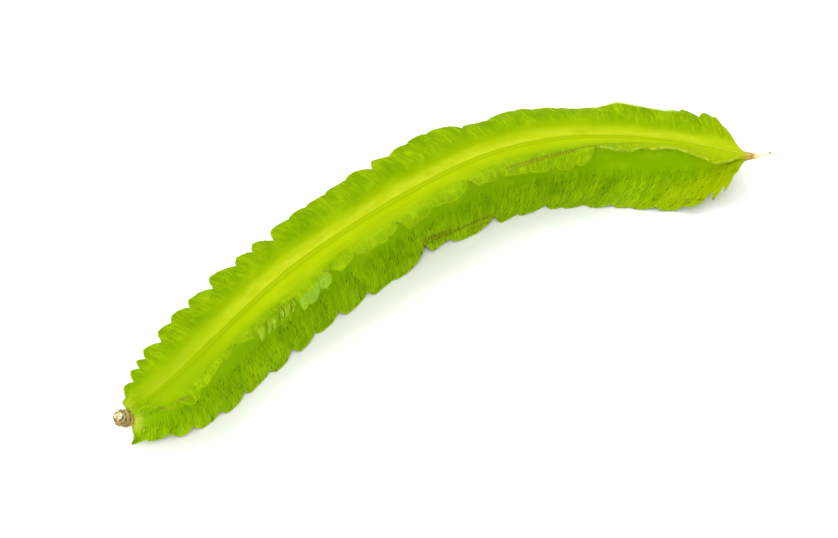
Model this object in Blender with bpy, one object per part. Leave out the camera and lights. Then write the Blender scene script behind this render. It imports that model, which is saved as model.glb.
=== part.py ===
"""Winged bean: one fresh pod with four ruffled wings, its cut stalk end and its dried beak."""
import math

import bmesh
import bpy
import numpy as np
from mathutils import Vector

# Places along the pod are in millimetres from the neck, angles are in degrees.
MM = 0.001
POD_START, POD_END = -0.8, 199.0
GAP = 0.3

# course of the pod over the surface: heading, height of the middle, roll about its length
HEADINGS = [(-7, -20), (0, 7), (10, 16), (28, 24), (45, 22), (70, 15), (110, 6), (138, -13), (158, -31),
            (175, -37), (197, -38), (206, -36)]
HEIGHTS = [(-7, 12.0), (-1, 8.7), (4, 8.3), (20, 8.9), (60, 9.9), (120, 9.9), (150, 9.5), (170, 9.3), (185, 9.7),
           (197, 10.7), (206, 12.0)]
ROLLS = [(-6, 2), (0, 2), (60, 2), (120, 1), (140, 0), (158, -8), (175, -13), (197, -10), (206, -10)]

# half sizes of the four-sided body between the wings
HALF_WIDTHS = [(-1, 2.6), (1, 3.1), (8, 4.1), (25, 5.0), (60, 5.4), (140, 5.4), (175, 4.7), (187, 3.4),
               (193, 2.0), (196.3, 1.05), (199, 0.7)]
HALF_HEIGHTS = [(-1, 2.6), (1, 3.0), (8, 3.9), (25, 5.0), (60, 5.6), (140, 5.6), (175, 4.9), (187, 3.4),
                (193, 1.9), (196.3, 1.05), (199, 0.7)]

# blades of the wings
MARGIN_THICKNESS = 0.66
ROOT_SWELL = 1.0        # extra thickness where a blade grows out of the body
ROOT_INSET = 0.8
LEAST_WIDTH = 0.25
BLADE_SPAN = 9.0        # width over which the curl and the sweep are given
TOOTH_RISE = 1.6        # length over which a lobe comes out of its notch
RUFFLE_HEIGHT = 0.55

# side is +1 on the inner side of the bend, up is +1 for the two wings beside the upper seam
# width: blade without notches, lean: rise from level, curl: bend over the span,
# sweep: how far the margin is drawn back toward the stalk over the span
# notches: (place, share of the width cut away)
WINGS = {
    "upper_outer": dict(
        side=-1, up=1, seed=3,
        width=[(-1, 0.5), (-0.4, 2.6), (1.2, 3.6), (5.9, 5.3), (10, 6.4), (14, 7.2), (25, 8.0), (41, 8.3),
               (50, 7.5), (64, 7.6), (80, 7.8), (92, 8.4), (106, 8.7), (114, 9.1), (121, 8.5), (128, 7.3),
               (145, 8.0), (156, 8.2), (165, 9.1), (171, 9.6), (178, 9.3), (185, 9.4), (190.5, 8.7),
               (193, 6.0), (195.2, 1.7), (197, 0.5), (199, 0.25)],
        sweep=[(-1, 6), (3, 3.2), (9, 2.2), (16, 1.8), (199, 1.8)],
        lean=[(-1, -32), (1, -8), (3, 6), (6, 15), (20, 22), (60, 24), (113, 24), (126, 12), (140, 6), (152, 4), (162, 16), (170, 26),
              (185, 26), (197, 24)],
        curl=[(-3, 20), (30, 24), (110, 26), (128, 50), (152, 60), (162, 40), (172, 24), (197, 20)],
        notches=[(0.6, .42), (5.2, .38), (9.2, .27), (12.2, .25), (18.8, .30), (24.8, .15), (31.6, .22),
                 (39.4, .33), (48.3, .22), (54.2, .2), (60.6, .36), (68, .08), (74, .06), (80.5, .07),
                 (88, .05), (95.6, .24), (103, .07), (108.5, .05), (115, .06), (123.8, .2), (131, .06),
                 (138, .05), (148.5, .07), (158, .04), (176, .05), (185.7, .2), (189.8, .1), (192.2, .15)]),
    "upper_inner": dict(
        side=1, up=1, seed=11,
        width=[(-1, 0.4), (0.3, 1.8), (1.2, 2.8), (3, 2.9), (6, 3.9), (9, 5.2), (12, 7.1), (16, 6.8), (24, 5.6), (29, 5.4),
               (34, 7.2), (40, 8.5), (60, 8.8), (80, 8.8), (90, 9.8), (104, 9.5), (115, 9.1), (126, 8.2),
               (140, 8.9), (153, 9.2), (160, 8.6), (170, 8.0), (180, 6.6), (190, 5.2), (193.5, 3.2),
               (195.5, 1.2), (197, 0.5), (199, 0.25)],
        sweep=[(-1, 1.8), (199, 1.8)],
        lean=[(-1, 84), (1, 80), (3, 52), (5, 24), (6.5, 14), (10, 14), (16, 26), (22, 34), (28, 36), (34, 28), (42, 16), (50, 10), (56, 16),
              (66, 26), (90, 27), (108, 28), (118, 22), (130, 12), (140, 2), (154, 0), (160, 12), (166, 12),
              (172, 24), (177, 26), (184, 12), (190, 4), (197, 2)],
        curl=[(-3, 20), (30, 40), (44, 60), (54, 44), (66, 28), (120, 30), (140, 50), (154, 50), (165, 24),
              (197, 16)],
        notches=[(1.2, .1), (4.6, .3), (8.6, .42), (14.7, .22), (21, .1), (28.2, .5), (34.6, .2), (38.9, .22),
                 (42.6, .24), (45.8, .22), (49.2, .45), (54, .1), (62.8, .5), (71.4, .28), (79.4, .1),
                 (87.6, .46), (99, .22), (105.8, .1), (113, .6), (124, .22), (134, .1), (142.9, .14),
                 (150.3, .15), (155.6, .8), (164.6, .28), (172, .12), (180, .12), (187, .14), (191.6, .15)]),
    "lower_inner": dict(
        side=1, up=-1, seed=23,
        width=[(-1, 1.5), (-0.5, 4.9), (1.0, 4.5), (3, 4.6), (6, 5.3), (10, 6.3), (20, 7.6), (40, 8.6), (87, 9.1), (96, 8.6),
               (103, 7.2), (110, 8.6), (118, 9.3), (140, 9.0), (149, 10.2), (164, 10.2), (175, 10.6),
               (184, 11.4), (189.5, 11.6), (192, 10.0), (194, 7.2), (195.4, 3.0), (197, 0.6), (199, 0.25)],
        sweep=[(-1, 5), (3, 4), (8, 2), (20, 1.8), (199, 1.8)],
        lean=[(-1, 78), (3, 66), (7, 48), (12, 36), (30, 33), (60, 31), (120, 32), (145, 36), (160, 44), (178, 46), (190, 40), (197, 34)],
        curl=[(-3, 16), (60, 28), (140, 28), (165, 20), (197, 10)],
        notches=[(1.6, .14), (6.2, .22), (11.4, .2), (19, .2), (27.6, .22), (37, .2), (46.2, .26),
                 (55.5, .18), (65, .24), (76, .2), (85, .08), (98.4, .42), (106, .12), (122.9, .3),
                 (131, .12), (141, .16), (147, .1), (155, .1), (163.6, .1), (169, .06), (176, .07),
                 (184, .06), (190.3, .28), (193.2, .24), (195, .3)]),
    "lower_outer": dict(
        side=-1, up=-1, seed=31,
        width=[(-1, 0.4), (0.6, 2.8), (5, 5.0), (10, 6.4), (20, 7.8), (60, 9.0), (110, 9.4), (150, 9.4),
               (178, 9.0), (187, 7.6), (192, 5.0), (195, 2.0), (197, 0.5), (199, 0.25)],
        sweep=[(-1, 1.8), (199, 1.8)],
        lean=[(-3, 22), (10, 30), (30, 35), (60, 35), (120, 34), (145, 27), (165, 17), (185, 20), (197, 16)],
        curl=[(-3, 16), (60, 28), (140, 28), (165, 14), (197, 10)],
        notches=[(1.6, .24), (6.2, .22), (11.4, .2), (18.4, .24), (27, .16), (35.5, .24), (44, .2),
                 (53.5, .24), (64, .2), (73, .16), (84.5, .24), (95.4, .2), (106.2, .26), (117.6, .18),
                 (127.4, .22), (138, .16), (148.4, .24), (158, .2), (167.5, .16), (176, .24), (184, .2),
                 (189.6, .24), (193, .2)]),
}
AROUND = ("upper_inner", "lower_inner", "lower_outer", "upper_outer")

# rings of the solid
RING_COUNT = 108
BLADE_STEPS = (0.10, 0.36, 0.66, 0.88, 1.0)

# cut stalk, a short knobbly tube that bends up: (distance behind the pod, radius, rise, turn outward)
STALK_COURSE = [(0.0, 1.9, 0.0, 0.0), (0.4, 2.15, 0.0, 0.0), (0.9, 2.25, 0.16, 0.0), (1.4, 1.95, 0.42, 0.0),
                (1.9, 2.15, 0.76, 0.0), (2.3, 2.2, 1.10, 0.0), (2.65, 1.9, 1.46, 0.0),
                (2.95, 1.6, 1.78, 0.0), (3.15, 1.4, 2.02, 0.0)]
# dried beak, a bent tapering tube: (distance past the pod, radius, rise, turn outward)
BEAK_COURSE = [(0.0, 0.8, 0.0, 0.0), (0.4, 0.88, 0.0, 0.0), (0.9, 0.82, 0.02, 0.0), (1.5, 0.70, 0.07, 0.03),
               (2.3, 0.56, 0.18, 0.08), (3.2, 0.45, 0.36, 0.16), (4.0, 0.40, 0.56, 0.26),
               (4.4, 0.43, 0.68, 0.32), (4.7, 0.30, 0.77, 0.36)]

SOLID_COLOURS = {"pod_skin": (0.36, 0.52, 0.02), "stalk_bark": (0.22, 0.17, 0.08),
                 "beak_dry": (0.80, 0.66, 0.38)}


def through(pairs, at):
    """smooth curve through (place, value) pairs that never overshoots them"""
    xs, ys = (np.array(v, float) for v in zip(*pairs))
    at = np.clip(np.asarray(at, float), xs[0], xs[-1])
    step = np.diff(xs)
    rate = np.diff(ys) / step
    slope = np.zeros(len(xs))
    slope[0], slope[-1] = rate[0], rate[-1]
    for k in range(1, len(xs) - 1):
        if rate[k - 1] * rate[k] > 0:
            a, b = 2 * step[k] + step[k - 1], step[k] + 2 * step[k - 1]
            slope[k] = (a + b) / (a / rate[k - 1] + b / rate[k])
    i = np.clip(np.searchsorted(xs, at, side="right") - 1, 0, len(step) - 1)
    h = step[i]
    q = (at - xs[i]) / h
    return (ys[i] * (1 + 2 * q) * (1 - q) ** 2 + slope[i] * h * q * (1 - q) ** 2
            + ys[i + 1] * q * q * (3 - 2 * q) + slope[i + 1] * h * q * q * (q - 1))


def spine(s):
    """middle line, forward, inner side and upward directions at the places s"""
    fine = np.arange(POD_START - 8, POD_END + 10, 0.25)
    head = np.radians(through(HEADINGS, fine))
    middle = (head[1:] + head[:-1]) / 2
    x = np.concatenate([[0], np.cumsum(np.cos(middle)) * 0.25])
    y = np.concatenate([[0], np.cumsum(np.sin(middle)) * 0.25])
    x -= np.interp(0, fine, x)
    y -= np.interp(0, fine, y)
    z = through(HEIGHTS, fine)
    point = np.stack([np.interp(s, fine, v) for v in (x, y, z)], -1)
    climb = np.interp(s, fine, np.gradient(z, fine))
    h = np.interp(s, fine, head)
    forward = np.stack([np.cos(h), np.sin(h), climb], -1)
    forward /= np.linalg.norm(forward, axis=-1, keepdims=True)
    level = np.stack([np.sin(h), -np.cos(h), np.zeros_like(h)], -1)
    upright = np.cross(level, forward)
    roll = np.radians(through(ROLLS, s))[..., None]
    side = level * np.cos(roll) - upright * np.sin(roll)
    up = upright * np.cos(roll) + level * np.sin(roll)
    return point, forward, side, up


def notch_cut(wing, s):
    """share of the width cut away at the places s, and which lobe each place is in"""
    at = np.array([POD_START - 2.0] + [n[0] for n in wing["notches"]] + [POD_END + 2.0])
    depth = np.array([0.0] + [n[1] for n in wing["notches"]] + [0.1])
    lobe = np.clip(np.searchsorted(at, s, side="right") - 1, 0, len(at) - 2)
    share = (s - at[lobe]) / (at[lobe + 1] - at[lobe])
    rise = np.clip(1 - (s - at[lobe]) / TOOTH_RISE, 0, 1) ** 1.5 * depth[lobe]
    fall = np.clip((share - 0.15) / 0.85, 0, 1) ** 2.4 * depth[lobe + 1]
    return np.maximum(rise, fall), lobe


def ruffle(wing, s, lobe):
    """how far the margin is pushed out of the blade, in millimetres"""
    rng = np.random.default_rng(wing["seed"])
    tilt = rng.uniform(-0.55, 0.55, 80)
    phase = rng.uniform(0, 2 * math.pi, 3)
    wave = (0.9 * np.sin(2 * math.pi * s / 23.0 + phase[0]) + 0.6 * np.sin(2 * math.pi * s / 13.7 + phase[1])
            + 0.35 * np.sin(2 * math.pi * s / 8.3 + phase[2]))
    places = [POD_START - 2.0] + [n[0] for n in wing["notches"]] + [POD_END + 2.0]
    centres = (np.array(places[1:]) + np.array(places[:-1])) / 2
    return RUFFLE_HEIGHT * (wave + 1.6 * np.interp(s, centres, tilt[:len(centres)]))


def blade(name, s, share):
    """middle of a blade at this share of its width, its facing and its thickness"""
    wing = WINGS[name]
    point, forward, side, up = spine(s)
    cut, lobe = notch_cut(wing, s)
    width = through(wing["width"], s)
    dist = np.maximum(width * (1 - cut), LEAST_WIDTH) * share
    lean, curl = np.radians(through(wing["lean"], s)), np.radians(through(wing["curl"], s))
    first = lean + curl / 2
    turn = -curl / BLADE_SPAN
    angle = first + turn * dist
    half_wide, half_high = through(HALF_WIDTHS, s), through(HALF_HEIGHTS, s)
    inset = np.minimum(ROOT_INSET, 0.35 * half_wide)
    across = half_wide - inset + (np.sin(angle) - np.sin(first)) / turn
    rise = half_high - inset + (np.cos(first) - np.cos(angle)) / turn
    out = side * (wing["side"] * across)[..., None] + up * (wing["up"] * rise)[..., None]
    facing = (side * (-np.sin(angle) * wing["side"])[..., None]
              + up * (np.cos(angle) * wing["up"])[..., None])
    reach = dist / BLADE_SPAN
    push = ruffle(wing, s, lobe) * reach ** 1.7
    middle = point + out - forward * (through(wing["sweep"], s) * reach ** 2)[..., None] + facing * push[..., None]
    thick = MARGIN_THICKNESS * np.minimum(1, half_wide / 1.5) + ROOT_SWELL * (1 - share) ** 2 * np.minimum(1, width / 6)
    return middle, facing, thick


def margin_places(name, rings):
    """ring places moved so that every notch and every lobe tip of this wing falls on a ring"""
    features = []
    for place, depth in WINGS[name]["notches"]:
        features += [place, place + TOOTH_RISE * (0.9 if depth > 0.15 else 1.4)]
    index = np.arange(len(rings))
    held, where = [0], [rings[0]]
    for f in features:
        k = int(np.argmin(np.abs(rings - f)))
        k = max(k, held[-1] + 1)
        if k < len(rings) - 1 and f > where[-1] + 0.35:
            held.append(k)
            where.append(f)
    held.append(len(rings) - 1)
    where.append(rings[-1])
    return np.interp(index, held, where)


def pod_rings():
    """all rings of the pod in millimetres, shape (rings, points, 3)"""
    base = np.linspace(POD_START, POD_END, RING_COUNT)
    base = np.interp(np.arange(RING_COUNT), [0, 12, RING_COUNT - 18, RING_COUNT - 1],
                     [POD_START, 15.0, 174.0, POD_END])
    margins = {name: margin_places(name, base) for name in WINGS}
    point, _, side, up = spine(base)
    wide, high = through(HALF_WIDTHS, base), through(HALF_HEIGHTS, base)

    def body(u, v):
        return point + side * (wide * u)[:, None] + up * (high * v)[:, None]

    columns = [body(0, 0.84), body(0.42, 0.86)]
    for name in AROUND:
        wing = WINGS[name]
        faces = {+1: [], -1: []}
        for share in BLADE_STEPS:
            s = base + (margins[name] - base) * share
            middle, facing, thick = blade(name, s, np.full_like(s, share))
            for way in faces:
                p = middle + facing * (way * thick / 2)[:, None]
                # the two lower wings carry the pod, so they lie flat where they touch
                if wing["up"] < 0:
                    p[:, 2] = np.maximum(p[:, 2], MARGIN_THICKNESS if way < 0 else 0.0)
                faces[way].append(p)
        outer_first = (wing["side"] > 0) == (wing["up"] > 0)
        first, second = (faces[1], faces[-1]) if outer_first else (faces[-1], faces[1])
        columns += first + second[::-1]
        if name == "upper_inner":
            columns += [body(0.95, 0.34), body(0.92, 0), body(0.95, -0.34)]
        elif name == "lower_inner":
            columns += [body(0.42, -0.86), body(0, -0.84), body(-0.42, -0.86)]
        elif name == "lower_outer":
            columns += [body(-0.95, -0.34), body(-0.92, 0), body(-0.95, 0.34)]
    columns.append(body(-0.42, 0.86))
    return np.stack(columns, 1)


def colour_in(thing, colour):
    material = bpy.data.materials.new(colour)
    material.use_nodes = True
    shader = material.node_tree.nodes["Principled BSDF"]
    shader.inputs["Base Color"].default_value = (*SOLID_COLOURS[colour], 1)
    shader.inputs["Roughness"].default_value = 0.5
    thing.data.materials.append(material)


def end_frame(place):
    """where the pod ends, with its forward, inner side and upward directions"""
    return [Vector(v[0]) for v in spine(np.array([place]))]


def make_tube(name, colour, place, way, course, collection, holder):
    """a tube with its own radius at every point, from one end of the pod; way is +1 along the pod"""
    point, forward, side, up = end_frame(place)
    curve = bpy.data.curves.new(name, "CURVE")
    curve.dimensions = "3D"
    curve.bevel_depth = MM
    curve.bevel_resolution = 5
    curve.use_fill_caps = True
    line = curve.splines.new("POLY")
    line.points.add(len(course) - 1)
    for knot, (dist, radius, rise, turn) in zip(line.points, course):
        knot.co = (*((point + forward * (way * (dist + GAP)) + up * rise - side * turn) * MM), 1)
        knot.radius = radius
    tube = bpy.data.objects.new(name, curve)
    collection.objects.link(tube)
    tube.parent = holder
    colour_in(tube, colour)
    return tube


def make_pod(collection, holder):
    """closed loft through the rings, split into triangles alike on both faces of a blade"""
    rings = pod_rings() * MM
    count, around = rings.shape[:2]
    bm = bmesh.new()
    verts = [[bm.verts.new(p) for p in ring] for ring in rings]
    caps = [bm.verts.new(rings[0].mean(0)), bm.verts.new(rings[-1].mean(0))]
    turned = second_faces(around)
    for i in range(count - 1):
        for j in range(around):
            k = (j + 1) % around
            a, b, c, d = verts[i][j], verts[i][k], verts[i + 1][k], verts[i + 1][j]
            halves = ((a, b, d), (b, c, d)) if turned[j] else ((a, b, c), (a, c, d))
            for face in halves:
                bm.faces.new(face)
    for j in range(around):
        k = (j + 1) % around
        bm.faces.new((caps[0], verts[0][k], verts[0][j]))
        bm.faces.new((caps[1], verts[-1][j], verts[-1][k]))
    bmesh.ops.recalc_face_normals(bm, faces=bm.faces)
    mesh = bpy.data.meshes.new("pod")
    bm.to_mesh(mesh)
    bm.free()
    pod = bpy.data.objects.new("pod", mesh)
    collection.objects.link(pod)
    pod.parent = holder
    colour_in(pod, "pod_skin")
    return pod


def second_faces(around):
    """True for the columns on the second face of each blade, so both faces share their diagonals"""
    flags = [False] * around
    steps = len(BLADE_STEPS)
    column = 2
    for gap in (3, 3, 3, 0):
        for j in range(column + steps, column + 2 * steps - 1):
            flags[j] = True
        column += 2 * steps + gap
    return flags


def centre_on_floor(holder, things):
    """moves the holder so that the middle of the object's foot is at the origin"""
    bpy.context.view_layer.update()
    seen = bpy.context.evaluated_depsgraph_get()
    corners = []
    for thing in things:
        solid = thing.evaluated_get(seen)
        mesh = solid.to_mesh()
        corners += [thing.matrix_world @ v.co for v in mesh.vertices]
        solid.to_mesh_clear()
    low = [min(c[k] for c in corners) for k in range(3)]
    high = [max(c[k] for c in corners) for k in range(3)]
    holder.location = (-(low[0] + high[0]) / 2, -(low[1] + high[1]) / 2, 0)
    print("moved by mm", [round(v * 1000, 4) for v in holder.location], "lowest", low[2] * 1000)


def main():
    for thing in list(bpy.data.objects):
        bpy.data.objects.remove(thing)
    collection = bpy.data.collections.new("winged_bean")
    bpy.context.scene.collection.children.link(collection)
    holder = bpy.data.objects.new("winged_bean_origin", None)
    collection.objects.link(holder)
    things = [make_pod(collection, holder),
              make_tube("stalk", "stalk_bark", POD_START, -1, STALK_COURSE, collection, holder),
              make_tube("beak", "beak_dry", POD_END, 1, BEAK_COURSE, collection, holder)]
    centre_on_floor(holder, things)


main()
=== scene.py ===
# Winged bean: one fresh pod with four ruffled wings, a cut stalk stub and a dried beak.
import math

import bmesh
import bpy
import numpy as np
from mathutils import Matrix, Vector


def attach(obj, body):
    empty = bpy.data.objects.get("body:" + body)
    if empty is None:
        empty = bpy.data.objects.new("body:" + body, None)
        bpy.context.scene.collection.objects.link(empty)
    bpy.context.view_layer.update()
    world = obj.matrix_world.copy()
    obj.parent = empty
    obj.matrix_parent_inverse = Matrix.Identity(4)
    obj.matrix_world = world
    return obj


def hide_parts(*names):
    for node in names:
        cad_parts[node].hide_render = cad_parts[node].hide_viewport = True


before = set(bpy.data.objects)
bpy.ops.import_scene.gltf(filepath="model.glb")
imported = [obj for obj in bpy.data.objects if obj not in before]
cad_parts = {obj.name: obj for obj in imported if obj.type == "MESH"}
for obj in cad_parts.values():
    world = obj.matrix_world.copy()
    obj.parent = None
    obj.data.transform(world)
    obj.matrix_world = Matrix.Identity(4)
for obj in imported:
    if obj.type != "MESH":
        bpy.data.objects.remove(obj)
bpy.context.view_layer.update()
print("frame loaded")

mm = 0.001

view = {
    "target": (-0.00248, -0.00257, 0.0),   # floor point in the middle of the picture
    "distance": 0.526,
    "azimuth": -30.5,
    "elevation": 45.0,
    "lens": 85.0,
    "sensor": 36.0,
    "clip": (0.01, 20.0),
}


def addCamera():
    data = bpy.data.cameras.new("camera")
    data.lens, data.sensor_width = view["lens"], view["sensor"]
    data.clip_start, data.clip_end = view["clip"]
    camera = bpy.data.objects.new("camera", data)
    bpy.context.scene.collection.objects.link(camera)
    turn, rise = math.radians(view["azimuth"]), math.radians(view["elevation"])
    back = Vector((math.sin(turn) * math.cos(rise), -math.cos(turn) * math.cos(rise), math.sin(rise)))
    camera.location = Vector(view["target"]) + back * view["distance"]
    camera.rotation_euler = back.to_track_quat("Z", "Y").to_euler()
    bpy.context.scene.camera = camera


light = {
    "sky": 1.0,
    "skyColour": (1.0, 1.0, 1.0, 1.0),
    "soft": [  # place, size, watts
        ((-0.35, 0.55, 0.95), 0.9, 6.5),
        ((-0.45, -0.55, 0.80), 0.8, 4.0),
    ],
}


def addLights():
    world = bpy.data.worlds.new("studio")
    bpy.context.scene.world = world
    world.use_nodes = True
    sky = world.node_tree.nodes["Background"]
    sky.inputs["Color"].default_value = light["skyColour"]
    sky.inputs["Strength"].default_value = light["sky"]
    for number, (place, size, watts) in enumerate(light["soft"]):
        data = bpy.data.lights.new("softbox%d" % number, "AREA")
        data.shape = "SQUARE"
        data.size = size
        data.energy = watts
        lamp = bpy.data.objects.new("softbox%d" % number, data)
        bpy.context.scene.collection.objects.link(lamp)
        lamp.location = place
        lamp.rotation_euler = Vector(place).to_track_quat("Z", "Y").to_euler()


class Val:
    # wraps a socket so that maths on it reads as Python
    def __init__(self, graph, socket):
        self.graph, self.socket = graph, socket

    def math(self, kind, *others):
        values = {"n%d" % k: value for k, value in enumerate((self, *others))}
        return self.graph.node("ShaderNodeMath", {"operation": kind}, 0, **values)

    def __add__(self, other): return self.math("ADD", other)
    def __radd__(self, other): return self.math("ADD", other)
    def __sub__(self, other): return self.math("SUBTRACT", other)
    def __rsub__(self, other): return (self * -1.0) + other
    def __mul__(self, other): return self.math("MULTIPLY", other)
    def __rmul__(self, other): return self.math("MULTIPLY", other)
    def __truediv__(self, other): return self.math("DIVIDE", other)
    def __abs__(self): return self.math("ABSOLUTE")

    def ramp(self, low, high):
        # 0 below low, 1 above high, smooth between; low may be above high
        flip = low > high
        return self.graph.node("ShaderNodeMapRange", {"interpolation_type": "SMOOTHSTEP"}, "Result",
                               Value=self, From_Min=min(low, high), From_Max=max(low, high),
                               To_Min=1.0 if flip else 0.0, To_Max=0.0 if flip else 1.0)

    def other(self, output):
        # another output of the same node
        return Val(self.graph, self.socket.node.outputs[output])


class Graph:
    # a node tree under construction
    def __init__(self, tree):
        self.tree = tree

    def node(self, kind, settings, output, **sockets):
        # settings first, then sockets; n0, n1 and so on pick a socket by its place
        made = self.tree.nodes.new(kind)
        for key, value in settings.items():
            setattr(made, key, value)
        for key, value in sockets.items():
            place = int(key[1:]) if key[0] == "n" and key[1:].isdigit() else key.replace("_", " ")
            if isinstance(value, Val):
                self.tree.links.new(value.socket, made.inputs[place])
            else:
                made.inputs[place].default_value = value
        return Val(self, made.outputs[output])

    def vector(self, x, y, z):
        return self.node("ShaderNodeCombineXYZ", {}, 0, X=x, Y=y, Z=z)

    def noise(self, at, scale=1.0, detail=2.0, rough=0.5):
        return self.node("ShaderNodeTexNoise", {}, "Fac", Vector=at, Scale=scale, Detail=detail,
                         Roughness=rough)


class Finish(Graph):
    # one material, built up from the colours of its look
    def __init__(self, name, look, **constants):
        self.material = bpy.data.materials.new(name)
        self.material.use_nodes = True
        super().__init__(self.material.node_tree)
        self.shader = self.tree.nodes["Principled BSDF"]
        self.look, self.colour = look, None
        for socket, value in constants.items():
            self.shader.inputs[socket.replace("_", " ")].default_value = value

    def attribute(self, name):
        return self.node("ShaderNodeAttribute", {"attribute_name": name}, "Fac")

    def mix(self, factor, first, second):
        def colour(value):
            return value if isinstance(value, Val) else (*value, 1.0)
        return self.node("ShaderNodeMix", {"data_type": "RGBA"}, 2,
                         n0=factor, n6=colour(first), n7=colour(second))

    def coat(self, mask, name):
        # a colour of the look, laid over what is there
        self.colour = self.mix(mask, self.colour, self.look[name])

    def bump(self, height, distance, strength):
        return self.node("ShaderNodeBump", {}, "Normal", Height=height, Distance=distance, Strength=strength)

    def feed(self, socket, value):
        self.tree.links.new(value.socket, self.shader.inputs[socket])


# places along the pod in millimetres from the neck, angles in degrees
pod = {
    "start": -0.8,
    "end": 199.0,
    "gap": 0.3,            # from the pod's end faces to the stub and the beak
    "step": 0.25,          # along the middle line
    "moved": (-91.757, -18.1615, 0.0),
    "headings": [(-7, -20), (0, 7), (10, 16), (28, 24), (45, 22), (70, 15), (110, 6), (138, -13), (158, -31),
                (175, -37), (197, -38), (206, -36)],
    "heights": [(-7, 12.0), (-1, 8.7), (4, 8.3), (20, 8.9), (60, 9.9), (120, 9.9), (150, 9.5),
               (170, 9.3), (185, 9.7), (197, 10.7), (206, 12.0)],
    "rolls": [(-6, 2), (0, 2), (60, 2), (120, 1), (140, 0), (158, -8), (175, -13), (197, -10),
             (206, -10)],
    "halfWidths": [(-1, 2.6), (1, 3.1), (8, 4.1), (25, 5.0), (60, 5.4), (140, 5.4), (175, 4.7), (187, 3.4),
                  (193, 2.0), (196.3, 1.05), (199, 0.7)],
    "halfHeights": [(-1, 2.6), (1, 3.0), (8, 3.9), (25, 5.0), (60, 5.6), (140, 5.6), (175, 4.9), (187, 3.4),
                   (193, 1.9), (196.3, 1.05), (199, 0.7)],
    "faceRise": 0.84,      # shares of the half height and half width of the body
    "faceHalf": 0.42,
    "trough": 0.02,
    "seamRise": 0.022,
    "seamWidth": 0.05,
    "flankOut": 0.92,
    "flankCurve": 0.05,
    "marginThickness": 0.6,
    "tipThin": 0.62,       # share of the thickness left at the margin
    "tipRound": 0.1,
    "rootSwell": 1.0,
    "rootInset": 0.8,
    "leastWidth": 0.25,
    "leastTooth": 0.2,
    "bladeSpan": 9.0,
    "toothRise": 2.6,
    "ruffleHeight": 0.55,
    "ruffleWaves": [(0.9, 23.0), (0.6, 13.7), (0.35, 8.3)],     # share, length
    "ruffleTilt": 1.6,
    "serration": 0.30,     # small teeth between the lobes
    "serrationPitch": (0.9, 2.3),
    "pinch": 0.38,
    "pinchLength": 0.7,
    "cup": 0.30,
    "rings": 760,
}
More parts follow.
